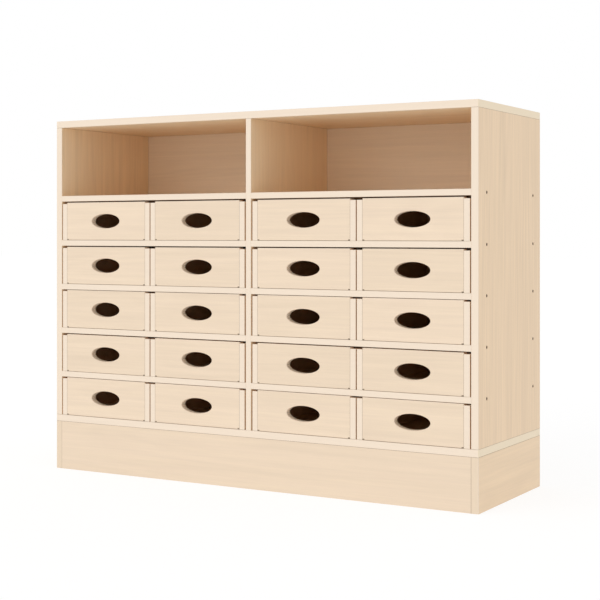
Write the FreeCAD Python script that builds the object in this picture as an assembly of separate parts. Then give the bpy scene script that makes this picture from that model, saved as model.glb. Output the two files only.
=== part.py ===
"""Tray storage unit for a classroom: a board carcass on a plinth, with open compartments above and
rows of wooden drawers below that slide on plain shelves, each with an oval finger hole.

Millimetres. The front looks along -Y, +Z is up, and the origin is the middle of the footprint, on the
floor. Every board, block, dowel and screw is a solid of its own.
"""

import FreeCAD, Part
import math
import os
from collections import namedtuple

Vector = FreeCAD.Vector
Screw = namedtuple("Screw", "shank head length sink")
OUT = "parts"
LEFT, RIGHT = -1, 1
FRONT, REAR = -1, 1
DOWN, UP = -1, 1

# ---- driving sizes of the carcass -------------------------------------------------------------
UNIT_WIDTH = 1230.0
UNIT_DEPTH = 400.0
UNIT_HEIGHT = 940.0          # the open compartments take what the plinth and the drawers leave
PLINTH_HEIGHT = 128.0
ROW_OPENING = 103.0          # clear height between two shelves, where a drawer goes
TOP_ROW_SPARE = 1.5          # more clear height over the top row of drawers
CARCASS_BOARD = 18.0         # top, bottom, sides and plinth
PARTITION_BOARD = 15.0       # between the two bays
SHELF_BOARD = 15.0
BACK_BOARD = 8.0
BACK_REBATE = 10.0           # how far the back reaches into the boards round it
BACK_PLAY = 0.4              # of the back in its rebate, all round
EDGE_RADIUS = 1.0            # rounding of the carcass boards
DRAWERS_PER_BAY = 2

# ---- driving sizes of a drawer ----------------------------------------------------------------
FRONT_BOARD = 18.0           # front of a drawer
DRAWER_BOARD = 15.0          # its sides and back
DRAWER_BOTTOM = 5.0
DRAWER_GAP = 3.2             # between two drawers, and between a drawer and the side panel
PARTITION_GAP = 4.2          # between a drawer and the partition
DRAWER_SETBACK = 0.5         # of the drawer fronts behind the carcass front
DRAWER_REAR_GAP = 11.5       # between a closed drawer and the back of the unit
FRONT_TOP_GAPS = (3.5, 3.0, 1.3, 2.7, 1.3)    # over the fronts, one for each row from the top, as fitted
FRONT_LIFT = 0.8             # under a drawer front
SIDE_DROP = 3.3              # of a drawer's sides below the top of its front
GLIDE_GAP = 0.3              # under a drawer's sides, which run on the shelf
BACK_DROP = 6.0              # of a drawer's back below the top of its sides
BOTTOM_LIFT = 8.0            # of the bottom board above the lower edge of the sides
GROOVE_DEPTH = 6.0           # of the groove that holds the bottom board
GROOVE_PLAY = 0.2            # of the bottom board in its groove
HOLE_WIDTH = 92.0            # finger hole, an oval that lies on its side
HOLE_HEIGHT = 38.0
HOLE_ROUNDING = 2.0
DRAWER_RADIUS = 0.6          # rounding of the drawer's boards

# ---- driving sizes of the joinery -------------------------------------------------------------
JOINT_INSET = 50.0           # of the screws and dowels from the front and the rear
HOLE_PLAY = 0.05             # round dowels and screws, radial
HOLE_END_PLAY = 0.5          # beyond the end of a dowel or a screw
DOWEL_DIAMETER = 8.0
DOWEL_LENGTH = 35.0          # of the dowels in the ends of the upright boards
DOWEL_SEAT = 12.0            # how much of them is in the top or bottom panel
SHELF_DOWEL_SEAT = 16.0      # how far a dowel through the partition reaches into each shelf
SHELF_SCREW_SHANK = 4.5
SHELF_SCREW_HEAD = 8.0
SHELF_SCREW_LENGTH = 55.0
SHELF_SCREW_SINK = 0.8       # of the head below the face of the board
BACK_SCREW_SHANK = 3.0
BACK_SCREW_HEAD = 6.0
BACK_SCREW_LENGTH = 20.0
BACK_SCREW_SINK = 0.2
BACK_SCREW_COLUMNS = 6       # along the top and along the bottom of the back
BACK_SCREW_ROWS = 4          # up each side and up the partition
BACK_SCREW_MARGIN = 60.0     # from the corners of the opening to the first screw
BLOCK_SIDE = 28.0            # square blocks in the corners of the plinth
BLOCK_HEIGHT = 50.0
BLOCK_SCREW_SHANK = 4.0
BLOCK_SCREW_HEAD = 7.0
BLOCK_SCREW_LENGTH = 38.0
BLOCK_SCREW_SINK = 0.4
BLOCK_SCREW_LINE = 19.5      # of the level screws, from the plinth board beside them
POST_SCREW_LINE = 8.5        # of the screw that stands upright, from both plinth boards
POST_SCREW_BITE = 12.0       # of that screw in the bottom panel
SOCKET_WIDTH = 0.5           # of a screw's six-sided socket, as a share of its head
SOCKET_DEPTH = 0.7           # of it, as a share of the head's height

# ---- places that follow from them -------------------------------------------------------------
X_OUT = UNIT_WIDTH / 2
X_IN = X_OUT - CARCASS_BOARD
X_MID = PARTITION_BOARD / 2
Y_FRONT = -UNIT_DEPTH / 2
Y_REAR = UNIT_DEPTH / 2
Y_BACK = Y_REAR - BACK_BOARD
Y_JOINTS = (Y_FRONT + JOINT_INSET, Y_REAR - JOINT_INSET)
ROWS = len(FRONT_TOP_GAPS)
Z_FLOOR = PLINTH_HEIGHT + CARCASS_BOARD
Z_SHELVES = [Z_FLOOR + (row + 1) * ROW_OPENING + row * SHELF_BOARD for row in range(ROWS)]
Z_SHELVES[-1] += TOP_ROW_SPARE
Z_CEILING = UNIT_HEIGHT - CARCASS_BOARD
BAYS = ((-X_IN, -X_MID), (X_MID, X_IN))
BAY_WIDTH = X_IN - X_MID
DRAWER_WIDTH = (BAY_WIDTH - PARTITION_GAP - DRAWERS_PER_BAY * DRAWER_GAP) / DRAWERS_PER_BAY
DRAWER_LENGTH = Y_BACK - Y_FRONT - DRAWER_SETBACK - DRAWER_REAR_GAP
FRONT_TOPS = [ROW_OPENING - gap for gap in FRONT_TOP_GAPS]
FRONT_TOPS[0] += TOP_ROW_SPARE

SHELF_SCREW = Screw(SHELF_SCREW_SHANK, SHELF_SCREW_HEAD, SHELF_SCREW_LENGTH, SHELF_SCREW_SINK)
BACK_SCREW = Screw(BACK_SCREW_SHANK, BACK_SCREW_HEAD, BACK_SCREW_LENGTH, BACK_SCREW_SINK)
BLOCK_SCREW = Screw(BLOCK_SCREW_SHANK, BLOCK_SCREW_HEAD, BLOCK_SCREW_LENGTH, BLOCK_SCREW_SINK)


# ---- plain shapes -----------------------------------------------------------------------------
def block(x0, x1, y0, y1, z0, z1):
    """A box between two corners."""
    return Part.makeBox(x1 - x0, y1 - y0, z1 - z0, Vector(x0, y0, z0))


def rod(start, way, diameter, length):
    """A round bar from a point, along a unit vector."""
    return Part.makeCylinder(diameter / 2, length, start, way)


def spread(low, high, count):
    """That many places from low to high, evenly spaced."""
    return [low + (high - low) * step / (count - 1) for step in range(count)]


def edges_in(solid, *planes):
    """The edges that lie in every one of the planes, each an axis and a place on it."""
    return [edge for edge in solid.Edges
            if all(abs(getattr(edge.CenterOfMass, axis) - place) < 1e-6
                   and abs(getattr(edge.Vertexes[0].Point, axis) - place) < 1e-6
                   for axis, place in planes)]


def round_edges(solid, radius, *pairs):
    """The solid with a rounding on each edge where the two planes of a pair meet."""
    edges = [edge for pair in pairs for edge in edges_in(solid, *pair)]
    return solid.makeFillet(radius, edges)


def cut(solid, tools):
    """The solid less every tool."""
    return solid.cut(Part.makeCompound(list(tools))).Solids[0]


def save(node, solids):
    """Writes one node: a single solid, or a group of separate ones."""
    shape = solids[0] if len(solids) == 1 else Part.makeCompound(solids)
    shape.exportStep(os.path.join(OUT, node + ".step"))


# ---- screws and dowels, and the holes that they need ------------------------------------------
def square_to(way):
    """Two unit vectors square to a unit vector and to each other."""
    side = Vector(1, 0, 0) if abs(way.z) > 0.5 else Vector(0, 0, 1)
    return side, way.cross(side)


def head_height(size):
    """The height of a countersunk head of 90 degrees."""
    return (size.head - size.shank) / 2


def screw(place, size):
    """A countersunk screw with a six-sided socket, its head sunk below a face at place."""
    mouth, way = place
    start = mouth + way * size.sink
    head = Part.makeCone(size.head / 2, size.shank / 2, head_height(size), start, way)
    side, across = square_to(way)
    reach = size.head * SOCKET_WIDTH / 2
    turns = [math.radians(60 * corner) for corner in range(7)]
    corners = [start + side * (reach * math.cos(turn)) + across * (reach * math.sin(turn)) for turn in turns]
    socket = Part.Face(Part.makePolygon(corners)).extrude(way * (head_height(size) * SOCKET_DEPTH))
    return head.fuse(rod(start, way, size.shank, size.length)).cut(socket).removeSplitter().Solids[0]


def screw_hole(place, size):
    """What is drilled for that screw: a counterbore, a countersink and a pilot hole."""
    mouth, way = place
    start = mouth + way * size.sink
    head = size.head / 2 + HOLE_PLAY
    shank = size.shank / 2 + HOLE_PLAY
    sink = Part.makeCone(head, shank, head_height(size), start, way)
    return rod(mouth, way, 2 * head, size.sink).fuse(
        [sink, rod(start, way, 2 * shank, size.length + HOLE_END_PLAY)])


def dowel(place):
    """A straight wooden dowel, from a point along a unit vector for a length."""
    start, way, length = place
    return rod(start, way, DOWEL_DIAMETER, length)


def dowel_hole(place):
    """What is drilled for that dowel, in both boards at once."""
    start, way, length = place
    return rod(start - way * HOLE_END_PLAY, way, DOWEL_DIAMETER + 2 * HOLE_PLAY, length + 2 * HOLE_END_PLAY)


def shelf_middles():
    """The heights of the middles of the shelf boards."""
    return [z + SHELF_BOARD / 2 for z in Z_SHELVES]


def side_screws(side):
    """Places of the screws from outside through one side into the shelf ends."""
    return [(Vector(side * X_OUT, y, z), Vector(-side, 0, 0)) for z in shelf_middles() for y in Y_JOINTS]


def shelf_dowels():
    """Places of the dowels that pass through the partition into the shelves on both sides."""
    reach = X_MID + SHELF_DOWEL_SEAT
    return [(Vector(-reach, y, z), Vector(1, 0, 0), 2 * reach) for z in shelf_middles() for y in Y_JOINTS]


def panel_dowels(panel_face, way):
    """Places of the dowels between the upright boards and the panel over or under them."""
    start = panel_face - way * (DOWEL_LENGTH - DOWEL_SEAT)
    rows = (*Y_JOINTS, sum(Y_JOINTS) / 2)
    uprights = (-X_OUT + CARCASS_BOARD / 2, 0.0, X_OUT - CARCASS_BOARD / 2)
    return [(Vector(x, y, start), Vector(0, 0, way), DOWEL_LENGTH) for x in uprights for y in rows]


def back_screws():
    """Places of the screws from behind through the back into the boards round it and the partition."""
    outset = BACK_REBATE / 2
    places = []
    for x in spread(-X_IN + BACK_SCREW_MARGIN, X_IN - BACK_SCREW_MARGIN, BACK_SCREW_COLUMNS):
        places += [(x, Z_FLOOR - outset), (x, Z_CEILING + outset)]
    for z in spread(Z_FLOOR + BACK_SCREW_MARGIN, Z_CEILING - BACK_SCREW_MARGIN, BACK_SCREW_ROWS):
        places += [(-X_IN - outset, z), (0.0, z), (X_IN + outset, z)]
    return [(Vector(x, Y_REAR, z), Vector(0, -1, 0)) for x, z in places]


def plinth_corners():
    """The four inner corners of the plinth: x, y, and the signs of both."""
    y_in = Y_REAR - CARCASS_BOARD
    return [(right * X_IN, rear * y_in, right, rear) for right in (LEFT, RIGHT) for rear in (FRONT, REAR)]


def block_screws():
    """Places of the screws in the corner blocks: one into each plinth board, one into the bottom panel."""
    low = PLINTH_HEIGHT - BLOCK_HEIGHT
    post = PLINTH_HEIGHT + POST_SCREW_BITE - BLOCK_SCREW_LENGTH - BLOCK_SCREW_SINK
    places = []
    for x, y, right, rear in plinth_corners():
        level_x = Vector(x - right * BLOCK_SIDE, y - rear * BLOCK_SCREW_LINE, low + BLOCK_HEIGHT / 3)
        level_y = Vector(x - right * BLOCK_SCREW_LINE, y - rear * BLOCK_SIDE, low + BLOCK_HEIGHT * 2 / 3)
        upright = Vector(x - right * POST_SCREW_LINE, y - rear * POST_SCREW_LINE, post)
        places.append((level_x, Vector(right, 0, 0)))
        places.append((level_y, Vector(0, rear, 0)))
        places.append((upright, Vector(0, 0, 1)))
    return places


# ---- carcass ----------------------------------------------------------------------------------
def back_space():
    """The rebates that the back panel lies in, as one box that the boards round it lose."""
    return block(-X_IN - BACK_REBATE, X_IN + BACK_REBATE, Y_BACK, Y_REAR,
                 Z_FLOOR - BACK_REBATE, Z_CEILING + BACK_REBATE)


def level_panel(z0, z1):
    """The top or the bottom panel, over the whole footprint, with all its edges rounded."""
    panel = block(-X_OUT, X_OUT, Y_FRONT, Y_REAR, z0, z1)
    return panel.makeFillet(EDGE_RADIUS, panel.Edges)


def top_panel():
    """Covers the uprights, which are dowelled into it."""
    tools = [back_space()]
    tools += [dowel_hole(place) for place in panel_dowels(Z_CEILING, UP)]
    tools += [screw_hole(place, BACK_SCREW) for place in back_screws()]
    return cut(level_panel(Z_CEILING, UNIT_HEIGHT), tools)


def bottom_panel():
    """Carries the uprights and the lowest drawers, and is screwed to the blocks in the plinth."""
    tools = [back_space()]
    tools += [dowel_hole(place) for place in panel_dowels(Z_FLOOR, DOWN)]
    tools += [screw_hole(place, BACK_SCREW) for place in back_screws()]
    tools += [screw_hole(place, BLOCK_SCREW) for place in block_screws()]
    return cut(level_panel(PLINTH_HEIGHT, Z_FLOOR), tools)


def side_panel(side):
    """One side of the carcass, with holes in its outer face for the screws of the shelves."""
    outer = side * X_OUT
    inner = side * X_IN
    panel = block(min(outer, inner), max(outer, inner), Y_FRONT, Y_REAR, Z_FLOOR, Z_CEILING)
    panel = round_edges(panel, EDGE_RADIUS, (("y", Y_FRONT), ("x", outer)), (("y", Y_FRONT), ("x", inner)),
                        (("y", Y_REAR), ("x", outer)))
    tools = [back_space()]
    tools += [dowel_hole(place) for place in panel_dowels(Z_CEILING, UP) + panel_dowels(Z_FLOOR, DOWN)]
    tools += [screw_hole(place, BACK_SCREW) for place in back_screws()]
    tools += [screw_hole(place, SHELF_SCREW) for place in side_screws(side)]
    return cut(panel, tools)


def centre_partition():
    """The upright board between the two bays, drilled through for the dowels of the shelves."""
    board = block(-X_MID, X_MID, Y_FRONT, Y_BACK, Z_FLOOR, Z_CEILING)
    board = round_edges(board, EDGE_RADIUS, (("y", Y_FRONT), ("x", -X_MID)), (("y", Y_FRONT), ("x", X_MID)))
    tools = [dowel_hole(place) for place in panel_dowels(Z_CEILING, UP) + panel_dowels(Z_FLOOR, DOWN)]
    tools += [dowel_hole(place) for place in shelf_dowels()]
    tools += [screw_hole(place, BACK_SCREW) for place in back_screws()]
    return cut(board, tools)


def shelf_row(z):
    """The two shelf boards at one height, one in each bay."""
    tools = [screw_hole(place, SHELF_SCREW) for place in side_screws(LEFT) + side_screws(RIGHT)]
    tools += [dowel_hole(place) for place in shelf_dowels()]
    shelves = []
    for left, right in BAYS:
        shelf = block(left, right, Y_FRONT, Y_BACK, z, z + SHELF_BOARD)
        arrises = [(("y", Y_FRONT), ("z", height)) for height in (z, z + SHELF_BOARD)]
        shelf = round_edges(shelf, EDGE_RADIUS, *arrises)
        shelves.append(cut(shelf, tools))
    return shelves


def back_panel():
    """The thin back, screwed into the rebates and to the partition."""
    reach = BACK_REBATE - BACK_PLAY
    panel = block(-X_IN - reach, X_IN + reach, Y_BACK, Y_REAR, Z_FLOOR - reach, Z_CEILING + reach)
    return cut(panel, [screw_hole(place, BACK_SCREW) for place in back_screws()])


# ---- plinth -----------------------------------------------------------------------------------
def plinth_end(side):
    """One end of the plinth, as deep as the carcass."""
    outer = side * X_OUT
    inner = side * X_IN
    board = block(min(outer, inner), max(outer, inner), Y_FRONT, Y_REAR, 0, PLINTH_HEIGHT)
    arrises = [(("y", y), ("x", x)) for y in (Y_FRONT, Y_REAR) for x in (outer, inner)]
    board = round_edges(board, EDGE_RADIUS, *arrises)
    return cut(board, [screw_hole(place, BLOCK_SCREW) for place in block_screws()])


def plinth_rail(way):
    """The front or the rear board of the plinth, between its ends."""
    outer = way * Y_REAR
    inner = way * (Y_REAR - CARCASS_BOARD)
    board = block(-X_IN, X_IN, min(outer, inner), max(outer, inner), 0, PLINTH_HEIGHT)
    return cut(board, [screw_hole(place, BLOCK_SCREW) for place in block_screws()])


def corner_blocks():
    """Square blocks in the plinth's corners, which its boards and the bottom panel are screwed to."""
    tools = [screw_hole(place, BLOCK_SCREW) for place in block_screws()]
    low = PLINTH_HEIGHT - BLOCK_HEIGHT
    blocks = []
    for x, y, right, rear in plinth_corners():
        x_far = x - right * BLOCK_SIDE
        y_far = y - rear * BLOCK_SIDE
        post = Vector(x - right * POST_SCREW_LINE, y - rear * POST_SCREW_LINE, low)
        depth = BLOCK_HEIGHT + POST_SCREW_BITE - BLOCK_SCREW_LENGTH
        well = rod(post, Vector(0, 0, 1), BLOCK_SCREW_HEAD + 2 * HOLE_PLAY, depth - BLOCK_SCREW_SINK)
        wood = block(min(x, x_far), max(x, x_far), min(y, y_far), max(y, y_far), low, PLINTH_HEIGHT)
        blocks.append(cut(wood, tools + [well]))
    return blocks


# ---- drawer -----------------------------------------------------------------------------------
# One drawer is made with its front at y = 0, centred on x = 0, over a shelf whose top is z = 0.
HALF = DRAWER_WIDTH / 2
INNER = HALF - DRAWER_BOARD
BOTTOM_LOW = GLIDE_GAP + BOTTOM_LIFT
BOTTOM_HIGH = BOTTOM_LOW + DRAWER_BOTTOM


def bottom_groove():
    """The groove round the bottom board, open at the rear, as the box that sides and front lose."""
    return block(-INNER - GROOVE_DEPTH, INNER + GROOVE_DEPTH, FRONT_BOARD - GROOVE_DEPTH, DRAWER_LENGTH,
                 BOTTOM_LOW, BOTTOM_HIGH + GROOVE_PLAY)


def finger_hole(front_top):
    """The oval hole through the front, along y."""
    middle = Vector(0, -FRONT_BOARD, (FRONT_LIFT + front_top) / 2)
    oval = Part.Ellipse(middle + Vector(HOLE_WIDTH / 2, 0, 0), middle + Vector(0, 0, HOLE_HEIGHT / 2), middle)
    return Part.Face(Part.Wire(oval.toShape())).extrude(Vector(0, 3 * FRONT_BOARD, 0))


def drawer_front(front_top):
    """The board between the drawer's sides, with all its front edges and its hole rounded."""
    board = block(-INNER, INNER, 0, FRONT_BOARD, FRONT_LIFT, front_top)
    board = round_edges(board, DRAWER_RADIUS, *[(("y", 0), ("x", x)) for x in (-INNER, INNER)],
                        *[(("y", 0), ("z", z)) for z in (FRONT_LIFT, front_top)],
                        (("y", FRONT_BOARD), ("z", front_top)))
    board = cut(board, [finger_hole(front_top), bottom_groove()])
    return board.makeFillet(HOLE_ROUNDING, [edge for edge in board.Edges if edge.isClosed()])


def drawer_side(side, front_top):
    """One side of the drawer, as long as the drawer, with a rounded upper edge."""
    outer = side * HALF
    inner = side * INNER
    top = front_top - SIDE_DROP
    board = block(min(outer, inner), max(outer, inner), 0, DRAWER_LENGTH, GLIDE_GAP, top)
    board = round_edges(board, DRAWER_RADIUS, *[(("y", 0), ("x", x)) for x in (outer, inner)],
                        *[(("z", top), ("x", x)) for x in (outer, inner)],
                        (("y", 0), ("z", top)))
    return cut(board, [bottom_groove()])


def drawer_back(front_top):
    """The board that stands on the bottom between the sides, at the rear."""
    top = front_top - SIDE_DROP - BACK_DROP
    inner = DRAWER_LENGTH - DRAWER_BOARD
    board = block(-INNER, INNER, inner, DRAWER_LENGTH, BOTTOM_HIGH, top)
    return round_edges(board, DRAWER_RADIUS, *[(("z", top), ("y", y)) for y in (inner, DRAWER_LENGTH)])


def drawer_bottom():
    """The thin bottom board, slid in from the rear."""
    reach = INNER + GROOVE_DEPTH - GROOVE_PLAY
    front = FRONT_BOARD - GROOVE_DEPTH + GROOVE_PLAY
    return block(-reach, reach, front, DRAWER_LENGTH, BOTTOM_LOW, BOTTOM_HIGH)


def drawer_columns():
    """The middles of the drawers across the unit, from the left."""
    first = X_MID + PARTITION_GAP + DRAWER_WIDTH / 2
    outward = [first + number * (DRAWER_WIDTH + DRAWER_GAP) for number in range(DRAWERS_PER_BAY)]
    return [-x for x in reversed(outward)] + outward


# ---- the whole unit ---------------------------------------------------------------------------
def save_carcass():
    """The boards that don't move."""
    save("top_panel", [top_panel()])
    save("bottom_panel", [bottom_panel()])
    save("left_side_panel", [side_panel(LEFT)])
    save("right_side_panel", [side_panel(RIGHT)])
    save("centre_partition", [centre_partition()])
    save("back_panel", [back_panel()])
    for row, z in enumerate(reversed(Z_SHELVES), 1):
        save(f"shelf_row_{row}", shelf_row(z))


def save_plinth():
    """The four boards and the four blocks under the carcass."""
    save("plinth_front", [plinth_rail(FRONT)])
    save("plinth_rear", [plinth_rail(REAR)])
    save("plinth_left", [plinth_end(LEFT)])
    save("plinth_right", [plinth_end(RIGHT)])
    save("plinth_corner_blocks", corner_blocks())


def save_fasteners():
    """Dowels and screws, each kind in a node."""
    dowels = panel_dowels(Z_CEILING, UP) + panel_dowels(Z_FLOOR, DOWN) + shelf_dowels()
    save("dowels", [dowel(place) for place in dowels])
    save("shelf_screws", [screw(place, SHELF_SCREW) for place in side_screws(LEFT) + side_screws(RIGHT)])
    save("back_panel_screws", [screw(place, BACK_SCREW) for place in back_screws()])
    save("plinth_screws", [screw(place, BLOCK_SCREW) for place in block_screws()])


def save_drawers():
    """The drawers, row by row from the top, each a front and a box of two sides, a back and a bottom."""
    for row, front_top in enumerate(FRONT_TOPS, 1):
        z = Z_FLOOR + (ROWS - row) * (ROW_OPENING + SHELF_BOARD)
        front = drawer_front(front_top)
        sides = [drawer_side(side, front_top) for side in (LEFT, RIGHT)]
        box = [*sides, drawer_back(front_top), drawer_bottom()]
        for column, x in enumerate(drawer_columns(), 1):
            place = Vector(x, Y_FRONT + DRAWER_SETBACK, z)
            save(f"drawer_r{row}_c{column}_front", [front.translated(place)])
            save(f"drawer_r{row}_c{column}_box", [piece.translated(place) for piece in box])


os.makedirs(OUT, exist_ok=True)
save_carcass()
save_plinth()
save_fasteners()
save_drawers()
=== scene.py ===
"""A classroom tray storage unit in pale birch decor: plinth, carcass, shelves and twenty wooden drawers.

The file follows the unit as it is put together, from the floor up. Lengths are in metres: the front looks
along -Y, +Z is up, and the origin is the middle of the footprint, on the floor.
"""
import math

import bmesh
import bpy
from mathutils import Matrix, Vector


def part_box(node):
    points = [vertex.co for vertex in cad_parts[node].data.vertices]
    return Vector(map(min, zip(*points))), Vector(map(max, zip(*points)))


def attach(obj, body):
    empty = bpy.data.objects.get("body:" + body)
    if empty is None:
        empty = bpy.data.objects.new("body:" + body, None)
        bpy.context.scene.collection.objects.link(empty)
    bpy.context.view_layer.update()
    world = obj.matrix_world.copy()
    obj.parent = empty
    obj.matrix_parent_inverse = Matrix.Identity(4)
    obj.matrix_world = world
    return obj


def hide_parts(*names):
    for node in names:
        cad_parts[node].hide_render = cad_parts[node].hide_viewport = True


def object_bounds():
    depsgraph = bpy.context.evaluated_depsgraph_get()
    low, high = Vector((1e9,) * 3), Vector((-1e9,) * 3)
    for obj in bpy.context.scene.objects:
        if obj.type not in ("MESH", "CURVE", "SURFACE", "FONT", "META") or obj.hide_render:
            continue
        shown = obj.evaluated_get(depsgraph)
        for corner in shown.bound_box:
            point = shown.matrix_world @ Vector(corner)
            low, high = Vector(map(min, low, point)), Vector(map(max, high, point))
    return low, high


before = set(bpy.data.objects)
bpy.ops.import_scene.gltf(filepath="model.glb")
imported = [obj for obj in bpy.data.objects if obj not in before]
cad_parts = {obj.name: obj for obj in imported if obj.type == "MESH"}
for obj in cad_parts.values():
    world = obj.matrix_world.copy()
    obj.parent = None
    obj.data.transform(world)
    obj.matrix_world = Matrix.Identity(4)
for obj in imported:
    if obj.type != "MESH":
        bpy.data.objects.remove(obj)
unit_low, unit_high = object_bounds()

# ---- plinth -----------------------------------------------------------------------------------
# Four upright boards of melamine-faced chipboard that carry the carcass. Their printed birch decor lies
# level, and the end boards run from front to rear, so that their edged ends show beside the front board.

MM = 0.001
BAND = 1.0 * MM              # thickness of the edging that is glued to a board's edges
GLUE_LINE = 0.16 * MM        # width of the line beside it
GLUE_TONE = 0.4              # how dark that line is, from 0 to 1
JOINT_LINE = 0.4 * MM        # width, to each side, of the painted shade line at a joint between two boards
JOINT_SHADE_TONE = 0.6             # how dark that painted shade is
plinth_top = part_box("plinth_front")[1].z
deck_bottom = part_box("left_side_panel")[0].z
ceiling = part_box("left_side_panel")[1].z
inner_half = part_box("plinth_front")[1].x


def tone(code):
    """The linear colour of a written sRGB colour such as "#efdbc2"."""
    parts = [int(code[at:at + 2], 16) / 255 for at in (1, 3, 5)]
    return tuple(p / 12.92 if p <= 0.04045 else ((p + 0.055) / 1.055) ** 2.4 for p in parts) + (1.0,)


def shade(colour, factor, warmth=0.0, blush=0.0):
    """That colour, lighter or darker, warmer by more red and less blue, and rosier by less green."""
    red, green, blue = (part * factor for part in colour[:3])
    return red * (1 + warmth), green * (1 - blush), blue * (1 - warmth), 1.0


class Wire:
    """An output of a node. Python's operators on it add Math nodes to its tree."""

    def __init__(self, tree, socket):
        self.tree = tree
        self.socket = socket

    def math(self, operation, *operands):
        return self.tree.add("ShaderNodeMath", {"operation": operation}, dict(enumerate(operands)))

    def __add__(self, other):
        return self.math("ADD", self, other)

    def __sub__(self, other):
        return self.math("SUBTRACT", self, other)

    def __rsub__(self, other):
        return self.math("SUBTRACT", other, self)

    def __mul__(self, other):
        return self.math("MULTIPLY", self, other)

    def __truediv__(self, other):
        return self.math("DIVIDE", self, other)

    def __lt__(self, other):
        return self.math("LESS_THAN", self, other)

    def __gt__(self, other):
        return self.math("GREATER_THAN", self, other)

    def __abs__(self):
        return self.math("ABSOLUTE", self)

    __radd__ = __add__
    __rmul__ = __mul__

    def floor(self):
        return self.math("FLOOR", self)

    def sine(self):
        return self.math("SINE", self)

    def least(self, other):
        return self.math("MINIMUM", self, other)

    def most(self, other):
        return self.math("MAXIMUM", self, other)


class Tree:
    """A node tree, a material's or a Geometry Nodes group's, that calls fill with nodes."""

    def __init__(self, tree):
        self.tree = tree

    def add(self, kind, settings=None, sockets=None, output=0):
        """Adds a node, sets it, feeds its sockets with values or wires, and returns one output's wire."""
        node = self.tree.nodes.new(kind)
        for name, value in (settings or {}).items():
            setattr(node, name, value)
        for key, value in (sockets or {}).items():
            for wire in value if isinstance(value, list) else [value]:
                if isinstance(wire, Wire):
                    self.tree.links.new(wire.socket, node.inputs[key])
                else:
                    node.inputs[key].default_value = wire
        return Wire(self, node.outputs[output]) if len(node.outputs) else node

    def split(self, vector):
        """The three parts of a vector."""
        node = self.add("ShaderNodeSeparateXYZ", sockets={0: vector}).socket.node
        return [Wire(self, socket) for socket in node.outputs]

    def vector(self, x, y, z):
        """A vector of three parts."""
        return self.add("ShaderNodeCombineXYZ", sockets={0: x, 1: y, 2: z})

    def pick(self, no, yes, choice):
        """A number between two, by a factor."""
        return self.add("ShaderNodeMix", {"data_type": "FLOAT"}, {0: choice, 2: no, 3: yes})

    def blend(self, low, high, factor):
        """A colour between two, by a factor."""
        return self.add("ShaderNodeMix", {"data_type": "RGBA"}, {0: factor, 6: low, 7: high}, output=2)

    def noise(self, spot, seed, detail):
        """Noise from 0 to 1 with one cell to each unit of the vector, different for each seed."""
        sockets = {"Vector": spot, "W": seed, "Scale": 1.0, "Detail": detail}
        return self.add("ShaderNodeTexNoise", {"noise_dimensions": "4D"}, sockets)

    def surface(self, colour, roughness, height, relief, **constants):
        """Ends a material in a Principled BSDF; the height, up to relief metres high, becomes a bump.

        A constant has the name of its socket, with _ for a space.
        """
        bump = self.add("ShaderNodeBump", sockets={"Distance": relief, "Height": height})
        sockets = {"Base Color": colour, "Roughness": roughness, "Normal": bump}
        sockets.update({name.replace("_", " "): value for name, value in constants.items()})
        shader = self.add("ShaderNodeBsdfPrincipled", sockets=sockets)
        self.add("ShaderNodeOutputMaterial", sockets={"Surface": shader})


def new_material(name):
    """A material and its tree, which is still empty."""
    made = bpy.data.materials.new(name)
    made.use_nodes = True
    made.node_tree.nodes.clear()
    return made, Tree(made.node_tree)


def along_x(tree, x, y, z):
    """Grain coordinates, along it, across it and into the board, where the grain lies along X."""
    return x, z, y


def along_y(tree, x, y, z):
    """The same where it lies from front to rear."""
    return y, z, x


def near(value, place, reach):
    """1 where a value is that near to a place, and else 0."""
    return abs(value - place) < reach


def front_and_rear(x, y, z):
    """Distance to the nearer of the edged sides, where those are the front and the rear."""
    return (y - unit_low.y).least(unit_high.y - y)


def no_edge(x, y, z):
    """The same where no edged side shows: a metre everywhere, as a wire like the others."""
    return 1.0 - y * 0.0


def single(x, y, z):
    """The number of a board in its node, where the node is one board."""
    return 0.0


def nowhere(x, y, z):
    """The mask of nothing, where a board has no such place."""
    return 0.0


def carcass_joint_shade(x, y, z):
    """Painted shade: fine dark lines on the unit's outside, in the grooves where the boards of the carcass
    and the plinth meet.
    """
    level = near(z, plinth_top, JOINT_LINE).most(near(z, deck_bottom, JOINT_LINE)).most(
        near(z, ceiling, JOINT_LINE))
    upright = near(abs(x), inner_half, JOINT_LINE) * (z < plinth_top)
    outside = near(abs(x), unit_high.x, BAND / 2).most(near(abs(y), unit_high.y, BAND / 2))
    return level.most(upright) * outside


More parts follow.
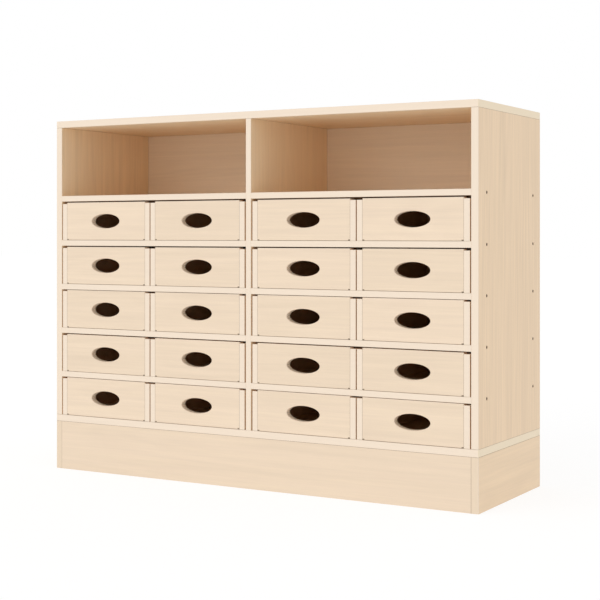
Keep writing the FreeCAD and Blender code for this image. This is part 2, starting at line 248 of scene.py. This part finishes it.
def decor(name, seed, grain, edge_distance, board=single, joints=nowhere, inside_shade_mask=nowhere,
          face="#efdbc2", edge="#f0dfcb", end_edge="#f0dfcb", inner="#efd8b5", contrast=1.2):
    """Printed birch decor on a board's faces, a warmer one inside as painted shade, and plain edging on its
    edged sides.
    """
    made, tree = new_material(name)
    face, edge, end_edge, inner = tone(face), tone(edge), tone(end_edge), tone(inner)
    x, y, z = tree.split(tree.add("ShaderNodeTexCoord", output="Object"))
    along, across, into = grain(tree, x, y, z)
    number = board(x, y, z) + seed

    def streaks(length, width, detail):
        """Noise drawn out along the grain, its cells that long and that wide."""
        return tree.noise(tree.vector(along / length, across / width, into / width), number, detail)

    rings = (streaks(1.9, 0.16, 1.5) * 150.0).sine()
    broad = streaks(0.75, 0.030, 3.0) - 0.5
    hue = streaks(0.60, 0.018, 2.0) - 0.5
    band = streaks(0.30, 0.009, 2.0) - 0.5
    fine = streaks(0.11, 0.0028, 2.0) - 0.5
    fibre = streaks(0.035, 0.0009, 2.0) - 0.5
    pore = streaks(0.012, 0.00045, 1.0) > 0.70
    lot = tree.add("ShaderNodeTexWhiteNoise", {"noise_dimensions": "1D"}, {"W": number}) - 0.5

    figure = (0.5 + (rings * 0.05 + broad * 0.6 + band * 0.7 + fine * 0.4 + fibre * 0.3) * contrast
              + lot * 0.24 - pore * 0.14)
    tint = 0.5 + hue * 1.4 + lot * 0.5
    # where the warmer inside tone is painted on, as shade inside the unit
    inside_shade = inside_shade_mask(x, y, z)

    def printed(ground):
        """The decor in its darkest and its palest tones, each between cream and peach."""
        deep = tree.blend(shade(ground, 0.90, warmth=0.008), shade(ground, 0.90, blush=0.012), tint)
        pale = tree.blend(shade(ground, 1.055, warmth=0.006, blush=-0.004),
                          shade(ground, 1.055, blush=0.010), tint)
        return tree.blend(deep, pale, figure)

    ground = printed(face) if inside_shade == 0.0 else tree.blend(printed(face), printed(inner), inside_shade)
    plain = tree.blend(shade(edge, 0.98), shade(edge, 1.02), 0.5 + band * 1.5)
    if end_edge != edge:
        plain = tree.blend(plain, end_edge, near(abs(x), unit_high.x, BAND))
    reach = edge_distance(x, y, z)
    banded = reach < BAND
    # the glue line beside the edging is real; the dark lines where boards meet are painted shade; both take
    # the dark tone of the face
    line = (near(reach, BAND, GLUE_LINE / 2) * GLUE_TONE).most(joints(x, y, z) * JOINT_SHADE_TONE)
    colour = tree.blend(tree.blend(ground, plain, banded), shade(face, 0.25, warmth=0.10), line)
    roughness = tree.pick(0.42 + fine * 0.10 + pore * 0.08, 0.40 + broad * 0.06, banded)
    height = 0.5 + (fibre * 0.5 + fine * 0.3 - pore * 0.6) * (1 - banded) - line
    tree.surface(colour, roughness, height, 0.02 * MM, Specular_IOR_Level=0.2)
    return made


def dress(made, *names):
    """Gives CAD nodes a material."""
    for name in names:
        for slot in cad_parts[name].material_slots:
            slot.material = made


dress(decor("plinth front decor", 3.0, along_x, no_edge, joints=carcass_joint_shade, face="#ead6bd", contrast=1.0),
      "plinth_front", "plinth_rear")
for lot, end in enumerate(("plinth_left", "plinth_right")):
    dress(decor(f"{end} decor", 11.0 + lot, along_y, front_and_rear, joints=carcass_joint_shade,
                face="#f2d8b7", edge="#e7d3ba"), end)

# ---- corner blocks and their screws -----------------------------------------------------------
# Square blocks of planed softwood in the four corners of the plinth, screwed to its boards from inside and
# up into the bottom panel. The screws are coated steel, countersunk, with a six-sided socket.

THREAD_PITCH = 2.0 * MM
THREAD_DEPTH = 0.35 * MM
SOCKET_SHARE = 0.5           # width of the socket over its corners, as a share of the head
SOCKET_DEPTH = 0.7           # its depth, as a share of the head's height
POINT_LENGTH = 1.2           # of the point, as a share of the shank's thickness


def planed_wood(name, grain, light, dark):
    """Bare planed wood with visible growth rings."""
    made, tree = new_material(name)
    x, y, z = tree.split(tree.add("ShaderNodeTexCoord", output="Object"))
    along, across, into = grain(tree, x, y, z)
    drift = tree.noise(tree.vector(along / 0.2, across / 0.02, into / 0.02), seed=1.0, detail=2.0)
    rings = ((across + into * 0.4) * 2200.0 + drift * 9.0).sine() * 0.5 + 0.5
    fibre = tree.noise(tree.vector(along / 0.02, across / 0.0006, into / 0.0006), seed=2.0, detail=2.0)
    colour = tree.blend(tone(light), tone(dark), rings * 0.55 + fibre * 0.35)
    tree.surface(colour, 0.62 + fibre * 0.12, rings * 0.3 + fibre * 0.7, 0.05 * MM)
    return made


def coated_steel():
    """Dark bronze coating on steel, a little uneven."""
    made, tree = new_material("bronze coated steel")
    spot = tree.add("ShaderNodeTexCoord", output="Object")
    cells = tree.add("ShaderNodeVectorMath", {"operation": "SCALE"}, {0: spot, "Scale": 900.0})
    patches = tree.noise(cells, seed=0.0, detail=3.0)
    colour = tree.blend(tone("#2c1f12"), tone("#503a24"), patches)
    tree.surface(colour, 0.42 + patches * 0.2, patches, 0.01 * MM, Metallic=0.5)
    return made


def along_z(tree, x, y, z):
    """Grain coordinates where the grain stands upright."""
    return z, x, y


class Recipe(Tree):
    """A Geometry Nodes group that grows a piece out of a mesh of points, with named inputs."""

    def __init__(self, name, **inputs):
        super().__init__(bpy.data.node_groups.new(name, "GeometryNodeTree"))
        self.tree.interface.new_socket("Geometry", in_out="INPUT", socket_type="NodeSocketGeometry")
        for label, kind in inputs.items():
            self.tree.interface.new_socket(label, in_out="INPUT", socket_type="NodeSocket" + kind)
        self.tree.interface.new_socket("Geometry", in_out="OUTPUT", socket_type="NodeSocketGeometry")
        entry = self.tree.nodes.new("NodeGroupInput")
        self.inputs = {socket.name: Wire(self, socket) for socket in entry.outputs if socket.name}

    def move(self, mesh, z):
        """A mesh, further along Z."""
        return self.add("GeometryNodeTransform", sockets={0: mesh, "Translation": self.vector(0.0, 0.0, z)})

    def end(self, mesh, coat):
        """Ends the group with real faces and a material."""
        real = self.add("GeometryNodeRealizeInstances", sockets={0: mesh})
        coated = self.add("GeometryNodeSetMaterial", sockets={0: real, "Material": coat})
        self.add("NodeGroupOutput", sockets={0: coated})


def grow(recipe, name, points, **values):
    """The plain mesh that a recipe makes at points, each a place and the way that the piece points there."""
    start = bpy.data.meshes.new(name)
    start.from_pydata([place for place, way in points], [], [])
    ways = start.attributes.new("way", "FLOAT_VECTOR", "POINT")
    for entry, (place, way) in zip(ways.data, points):
        entry.vector = way
    piece = bpy.data.objects.new(name, start)
    bpy.context.scene.collection.objects.link(piece)
    modifier = piece.modifiers.new("recipe", "NODES")
    modifier.node_group = recipe.tree
    for item in recipe.tree.interface.items_tree:
        if item.in_out == "INPUT" and item.name in values:
            modifier[item.identifier] = values[item.name]
    grown = piece.evaluated_get(bpy.context.evaluated_depsgraph_get())
    piece.data = bpy.data.meshes.new_from_object(grown)
    piece.modifiers.clear()
    return piece


def screw_recipe():
    """A countersunk screw at each point: head with a socket, shank, point and thread."""
    recipe = Recipe("countersunk screw", head="Float", shank="Float", length="Float", steel="Material")
    head, shank, length, steel = (recipe.inputs[name] for name in ("head", "shank", "length", "steel"))
    cone_height = (head - shank) / 2
    core = shank / 2 - THREAD_DEPTH
    tip = shank * POINT_LENGTH
    straight = length - cone_height - tip

    cone = recipe.add("GeometryNodeMeshCone", sockets={
        "Vertices": 32, "Radius Top": shank / 2, "Radius Bottom": head / 2, "Depth": cone_height})
    socket = recipe.add("GeometryNodeMeshCylinder", sockets={
        "Vertices": 6, "Radius": head * SOCKET_SHARE / 2, "Depth": cone_height * (2 * SOCKET_DEPTH)})
    top = recipe.add("GeometryNodeMeshBoolean", {"operation": "DIFFERENCE", "solver": "EXACT"},
                     {"Mesh 1": cone, "Mesh 2": socket})

    rod = recipe.add("GeometryNodeMeshCylinder", sockets={"Vertices": 16, "Radius": core, "Depth": straight})
    point = recipe.add("GeometryNodeMeshCone", sockets={
        "Vertices": 16, "Radius Top": 0.0, "Radius Bottom": core, "Depth": tip})
    helix = recipe.add("GeometryNodeCurveSpiral", sockets={
        "Resolution": 12, "Rotations": straight / THREAD_PITCH, "Start Radius": core, "End Radius": core,
        "Height": straight})
    ridge = recipe.add("GeometryNodeCurvePrimitiveCircle", sockets={"Resolution": 3, "Radius": THREAD_DEPTH})
    thread = recipe.add("GeometryNodeCurveToMesh", sockets={0: helix, 1: ridge, "Fill Caps": True})

    screw = recipe.add("GeometryNodeJoinGeometry", sockets={0: [
        top, recipe.move(rod, cone_height + straight / 2), recipe.move(thread, cone_height),
        recipe.move(point, cone_height + straight)]})
    way = recipe.add("GeometryNodeInputNamedAttribute", {"data_type": "FLOAT_VECTOR"}, {"Name": "way"})
    turned = recipe.add("FunctionNodeAlignRotationToVector", {"axis": "Z"}, {"Vector": way})
    placed = recipe.add("GeometryNodeInstanceOnPoints", sockets={
        "Points": recipe.inputs["Geometry"], "Instance": screw, "Rotation": turned})
    recipe.end(placed, steel)
    return recipe


def islands(node):
    """The points of each separate solid of a CAD node."""
    copy = bmesh.new()
    copy.from_mesh(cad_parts[node].data)
    bmesh.ops.remove_doubles(copy, verts=copy.verts, dist=0.001 * MM)
    left = set(copy.verts)
    found = []
    while left:
        reached = [left.pop()]
        for vertex in reached:
            fresh = {edge.other_vert(vertex) for edge in vertex.link_edges} & left
            left -= fresh
            reached.extend(fresh)
        found.append([vertex.co.copy() for vertex in reached])
    copy.free()
    return found


def screw_places(node):
    """Where the middle of each screw's head is in a CAD node of screws, and the way the screw is driven."""
    places = []
    for points in islands(node):
        low = Vector([min(point[axis] for point in points) for axis in range(3)])
        high = Vector([max(point[axis] for point in points) for axis in range(3)])
        axis = max(range(3), key=lambda a: high[a] - low[a])
        middle = (low + high) / 2
        widest = max(points, key=lambda point: (point - middle).length_squared
                     - (point[axis] - middle[axis]) ** 2)
        sign = 1 if widest[axis] < middle[axis] else -1
        middle[axis] = low[axis] if sign > 0 else high[axis]
        way = Vector([sign if a == axis else 0 for a in range(3)])
        places.append((middle, way))
    return sorted(places, key=lambda place: tuple(place[0]))


def drive_screws(node, **sizes):
    """Threaded screws in the place of a CAD node's plain ones."""
    piece = grow(screw, node + "_threaded", screw_places(node), steel=steel, **sizes)
    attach(piece, "carcass")
    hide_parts(node)


dress(planed_wood("planed pine", along_z, "#e3c79b", "#c9a06a"), "plinth_corner_blocks")
steel = coated_steel()
screw = screw_recipe()
drive_screws("plinth_screws", head=7.0 * MM, shank=4.0 * MM, length=38.0 * MM)

# ---- bottom panel, sides, partition and top ---------------------------------------------------
# The carcass, of the same chipboard in the same decor, dowelled together. The grain stands upright on the
# sides and the partition and lies level on the panels, which are edged all round.

back_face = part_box("back_panel")[0].y
partition_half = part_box("centre_partition")[1].x


def front_edge(x, y, z):
    """Distance to the edged front, where that is the only edged side in sight."""
    return y - unit_low.y


def all_round(x, y, z):
    """Distance to the nearest edged side, where the board is edged on four sides."""
    return front_and_rear(x, y, z).least((x - unit_low.x).least(unit_high.x - x))


def inner_side(x, y, z):
    """The inner face of a side panel."""
    return abs(x) < inner_half + JOINT_LINE


def underside(x, y, z):
    """The lower face of the top panel."""
    return z < ceiling + JOINT_LINE


def shade_at_back(x, y, z):
    """Painted shade: the fine dark line in the corner where a board's face meets the back."""
    return near(y, back_face, JOINT_LINE)


def side_joint_shade(x, y, z):
    """The painted shade lines on a side panel: where it meets other boards, and inside in the corners along
    the ceiling and the back.
    """
    corners = shade_at_back(x, y, z).most(near(z, ceiling, JOINT_LINE))
    return carcass_joint_shade(x, y, z).most(corners * inner_side(x, y, z))


def partition_joint_shade(x, y, z):
    """The painted shade lines on the partition: in the corners along the ceiling and along the back."""
    return shade_at_back(x, y, z).most(near(z, ceiling, JOINT_LINE))


def top_joint_shade(x, y, z):
    """The painted shade lines on the top panel: where it meets other boards, and underneath in the corners
    where the uprights and the back meet it.
    """
    uprights = near(abs(x), inner_half, JOINT_LINE).most(near(abs(x), partition_half, JOINT_LINE))
    return carcass_joint_shade(x, y, z).most(shade_at_back(x, y, z).most(uprights) * underside(x, y, z))


dress(decor("bottom panel decor", 23.0, along_x, all_round, joints=carcass_joint_shade, end_edge="#f1e0c4"),
      "bottom_panel")
# The sides' face tone is darker than the fronts': painted shade, for sides that get less light. Their inner
# faces take the warmer inside tone, painted shade too.
for lot, side in enumerate(("left", "right")):
    dress(decor(f"{side} side decor", 29.0 + lot, along_z, front_and_rear, joints=side_joint_shade,
                inside_shade_mask=inner_side, face="#edd3b2", contrast=1.8), f"{side}_side_panel")
# The partition's face tone is the warmer inside tone, and the top panel's underside takes it too: painted
# shade inside the unit.
dress(decor("partition decor", 37.0, along_z, front_edge, joints=partition_joint_shade, face="#efd8b5"),
      "centre_partition")
dress(decor("top panel decor", 41.0, along_x, all_round, joints=top_joint_shade, inside_shade_mask=underside,
            end_edge="#f1e0c4"), "top_panel")
dress(planed_wood("beech dowels", along_z, "#dfb98a", "#cfa273"), "dowels")

# ---- shelves ----------------------------------------------------------------------------------
# Thinner boards, two at each of five levels, with one edged front. Screws through the sides and dowels
# through the partition hold them. The top two are the floors of the open compartments, and on the others,
# as on the bottom panel, the drawers run.

shelf_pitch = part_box("shelf_row_2")[0].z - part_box("shelf_row_3")[0].z
deck_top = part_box("shelf_row_1")[1].z


def shelf_number(x, y, z):
    """Another number for each shelf, by its bay and its level."""
    return (x > 0.0) * 3.0 + (z / shelf_pitch).floor() * 7.0


shelf_decor = decor("shelf decor", 43.0, along_x, front_edge, shelf_number)
dress(shelf_decor, *(f"shelf_row_{row}" for row in range(1, 6)))
drive_screws("shelf_screws", head=8.0 * MM, shank=4.5 * MM, length=55.0 * MM)

# ---- back -------------------------------------------------------------------------------------
# One thin board with the same decor on both faces, its grain level. It lies in rebates behind the shelves,
# where small screws hold it to the boards round it and to the partition.


def front_face(x, y, z):
    """The face of the back that looks into the unit."""
    return y < back_face + JOINT_LINE


def back_joint_shade(x, y, z):
    """Painted shade: fine dark lines in the corners round the two open compartments, on the face of the back.
    """
    upright = near(abs(x), inner_half, JOINT_LINE).most(near(abs(x), partition_half, JOINT_LINE))
    level = near(z, ceiling, JOINT_LINE).most(near(z, deck_top, JOINT_LINE))
    return upright.most(level) * front_face(x, y, z)


# The back's face into the unit gets its own tone: painted light and shade inside the unit.
dress(decor("back decor", 61.0, along_x, no_edge, joints=back_joint_shade, inside_shade_mask=front_face,
            inner="#ecdcc3"), "back_panel")
drive_screws("back_panel_screws", head=6.0 * MM, shank=3.0 * MM, length=20.0 * MM)

# ---- drawers ----------------------------------------------------------------------------------
# Plain wooden trays: a front with an oval finger hole, caught between two thinner sides whose edged ends show
# beside it, a back, and a thin bottom that is slid into grooves and pinned to the back from below.

NICK = 2.6 * MM              # height of the painted shade of the nicks in the lower corners of the fronts, and half its length
NICK_SHADE_TONE = 1.6              # how dark that painted shade is, as a multiple of the shade line of a joint
BACK_BOARD = 15.0 * MM       # thickness of a drawer's back
BOTTOM_LIFT = 8.0 * MM       # of a drawer's bottom over the lower edges of its sides
PIN_HEAD = 0.6 * MM          # thickness of a pin's head, which stands proud
PINS = (-0.09, 0.0, 0.09)    # across, from the middle of the drawer
outer_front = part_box("drawer_r1_c1_front")
outer_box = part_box("drawer_r1_c1_box")
inner_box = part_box("drawer_r1_c2_box")
drawer_front = outer_box[0].y
bay_middle = -(outer_box[1].x + inner_box[0].x) / 2
drawer_step = inner_box[0].x - outer_box[0].x
front_half = (outer_front[1].x - outer_front[0].x) / 2


def drawer_number(x, y, z):
    """Another number for each drawer of a row, by its column."""
    return (x / bay_middle).floor() * 5.0


def box_grain(tree, x, y, z):
    """Grain coordinates in a drawer's box: from front to rear on its sides, and else across the drawer."""
    normal_x = tree.split(tree.add("ShaderNodeTexCoord", output="Normal"))[0]
    on_side = abs(normal_x) > 0.5
    return tree.pick(x, y, on_side), z, tree.pick(y, x, on_side)


def pin_recipe():
    """A flat-headed pin at each point, driven up."""
    recipe = Recipe("flat-headed pin", head="Float", shank="Float", length="Float", steel="Material")
    head, shank, length, steel = (recipe.inputs[name] for name in ("head", "shank", "length", "steel"))
    disc = recipe.add("GeometryNodeMeshCylinder", sockets={
        "Vertices": 16, "Radius": head / 2, "Depth": PIN_HEAD})
    rod = recipe.add("GeometryNodeMeshCylinder", sockets={
        "Vertices": 8, "Radius": shank / 2, "Depth": length})
    one = recipe.add("GeometryNodeJoinGeometry", sockets={0: [
        recipe.move(disc, -PIN_HEAD / 2), recipe.move(rod, length / 2)]})
    placed = recipe.add("GeometryNodeInstanceOnPoints", sockets={
        "Points": recipe.inputs["Geometry"], "Instance": one})
    recipe.end(placed, steel)
    return recipe


def pin_bottom(body):
    """Pins the bottom of a drawer to its back."""
    low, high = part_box(body + "_box")
    points = [(((low.x + high.x) / 2 + along, high.y - BACK_BOARD / 2, low.z + BOTTOM_LIFT), (0, 0, 1))
              for along in PINS]
    piece = grow(pin, body + "_pins", points, head=5.0 * MM, shank=1.6 * MM, length=20.0 * MM, steel=steel)
    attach(piece, body)


pin = pin_recipe()
for row in range(1, 6):
    front_bottom, front_top = (corner.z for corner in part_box(f"drawer_r{row}_c1_front"))
    side_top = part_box(f"drawer_r{row}_c1_box")[1].z

    def front_board_edge(x, y, z):
        """Distance to the edged top of a front in this row."""
        return abs(front_top - z)

    def box_edges(x, y, z):
        """Distance to the edged front ends and tops of a drawer's sides in this row."""
        return (y - drawer_front).least(abs(side_top - z))

    def front_joint_shade(x, y, z):
        """Painted shade: fine dark lines where a front meets its sides, and the painted shade of a small
        notch at the foot of each.
        """
        from_middle = abs(abs(abs(x) - bay_middle) - drawer_step / 2)
        line = near(from_middle, front_half, JOINT_LINE)
        nick_shade = near(from_middle, front_half - NICK, NICK) * (z < front_bottom + NICK)
        return line.most(nick_shade * NICK_SHADE_TONE) * (y < drawer_front + JOINT_LINE)

    front_decor = decor(f"drawer front decor {row}", 71.0 + 17.0 * row, along_x, front_board_edge,
                        drawer_number, front_joint_shade, face="#edd9c0")
    # The boxes are a darker tone than the fronts: painted shade, for the gaps between the drawers.
    box_decor = decor(f"drawer box decor {row}", 83.0 + 17.0 * row, box_grain, box_edges,
                      drawer_number, front_joint_shade, face="#e4c9a8")
    for column in range(1, 5):
        dress(front_decor, f"drawer_r{row}_c{column}_front")
        dress(box_decor, f"drawer_r{row}_c{column}_box")
        pin_bottom(f"drawer_r{row}_c{column}")

# ---- floor, light and camera ------------------------------------------------------------------
# A plain pale floor under a white sky, with one soft wide sun from the front left. The camera stands level,
# to the right of the unit's front, and its lens is shifted down to take the whole unit in.

WHITE = (1.0, 1.0, 1.0, 1.0)
FLOOR_HALF = 30.0            # half the width of the floor
HORIZON_LIGHT = 0.78         # strength of the sky all round
ZENITH_LIGHT = 0.73          # overhead
SCREEN_LIGHT = 0.60          # added in the middle of a bright screen at the front left
SCREEN_WAY = Vector((-0.55, -1.0, 0.0)).normalized()
SUN_PLACE = Vector((-2.4, -4.6, 3.0))
SUN_TARGET = Vector((0.0, -0.2, 0.5))
SUN_WIDTH = 40.0             # degrees across
SUN_POWER = 0.25
BOUNCES = 10                 # of light between boards, enough for the deep ends of the compartments
CAMERA_PLACE = (1.801, -3.052, 0.6326)
CAMERA_TURN = 30.086         # degrees to the left of straight at the front
LENS = 81.26                 # in millimetres, as is the sensor's width
SENSOR_WIDTH = 36.0
HORIZON_DROP = 65.24 / 600   # of the picture's middle below the horizon, as a share of the picture


def in_sight(tree):
    """1 for what the camera sees, straight or in gloss or glass, and 0 for what only lights something."""
    path = tree.add("ShaderNodeLightPath").socket.node
    camera, glossy, through = (Wire(tree, path.outputs[name])
                               for name in ("Is Camera Ray", "Is Glossy Ray", "Is Transmission Ray"))
    return camera.most(glossy).most(through)


def glowing_paper(tree, grey, glow):
    """Matt paper of a grey, with a glow of its own."""
    matt = tree.add("ShaderNodeBsdfDiffuse", sockets={"Color": (grey, grey, grey, 1.0)})
    own = tree.add("ShaderNodeEmission", sockets={"Color": WHITE, "Strength": glow})
    return tree.add("ShaderNodeAddShader", sockets={0: matt, 1: own})


def white_floor():
    """Paper that is lifted for the camera, so that it reads as white but keeps the unit's shadow."""
    made, tree = new_material("white floor")
    shader = tree.add("ShaderNodeMixShader", sockets={
        0: in_sight(tree),
        1: glowing_paper(tree, grey=0.40, glow=0.70),
        2: glowing_paper(tree, grey=0.30, glow=0.76)})
    tree.add("ShaderNodeOutputMaterial", sockets={"Surface": shader})
    return made


def studio_sky():
    """A sky as in a white room with a bright screen at the front left, and plain white where in sight."""
    world = bpy.data.worlds.new("sky")
    bpy.context.scene.world = world
    world.use_nodes = True
    world.node_tree.nodes.clear()
    tree = Tree(world.node_tree)
    x, y, z = tree.split(tree.add("ShaderNodeTexCoord", output="Generated"))
    facing = (x * SCREEN_WAY.x + y * SCREEN_WAY.y + z * SCREEN_WAY.z).most(0.0)
    screen = facing * facing * facing * facing * SCREEN_LIGHT
    strength = HORIZON_LIGHT + abs(z) * (ZENITH_LIGHT - HORIZON_LIGHT) + screen
    sky = tree.add("ShaderNodeBackground", sockets={"Color": WHITE, "Strength": strength})
    white = tree.add("ShaderNodeBackground", sockets={"Color": WHITE, "Strength": 1.0})
    shader = tree.add("ShaderNodeMixShader", sockets={0: in_sight(tree), 1: sky, 2: white})
    tree.add("ShaderNodeOutputWorld", sockets={"Surface": shader})


def soft_sun():
    """A wide sun, the same over the whole unit."""
    light = bpy.data.lights.new("soft sun", "SUN")
    light.angle = math.radians(SUN_WIDTH)
    light.energy = SUN_POWER
    lamp = bpy.data.objects.new("soft sun", light)
    lamp.location = SUN_PLACE
    lamp.rotation_euler = (SUN_TARGET - SUN_PLACE).to_track_quat("-Z", "Y").to_euler()
    bpy.context.scene.collection.objects.link(lamp)


floor_mesh = bpy.data.meshes.new("floor")
floor_corners = [(-FLOOR_HALF, -FLOOR_HALF, 0), (FLOOR_HALF, -FLOOR_HALF, 0), (FLOOR_HALF, FLOOR_HALF, 0),
                 (-FLOOR_HALF, FLOOR_HALF, 0)]
floor_mesh.from_pydata(floor_corners, [], [(0, 1, 2, 3)])
floor_mesh.materials.append(white_floor())
floor = bpy.data.objects.new("floor", floor_mesh)
bpy.context.scene.collection.objects.link(floor)

studio_sky()
soft_sun()
bpy.context.scene.cycles.diffuse_bounces = BOUNCES

camera_data = bpy.data.cameras.new("camera")
camera_data.lens = LENS
camera_data.sensor_width = SENSOR_WIDTH
camera_data.shift_y = -HORIZON_DROP
camera = bpy.data.objects.new("camera", camera_data)
camera.location = CAMERA_PLACE
camera.rotation_euler = (math.radians(90.0), 0.0, math.radians(CAMERA_TURN))
bpy.context.scene.collection.objects.link(camera)
bpy.context.scene.camera = camera
bpy.context.scene.view_settings.view_transform = "Standard"
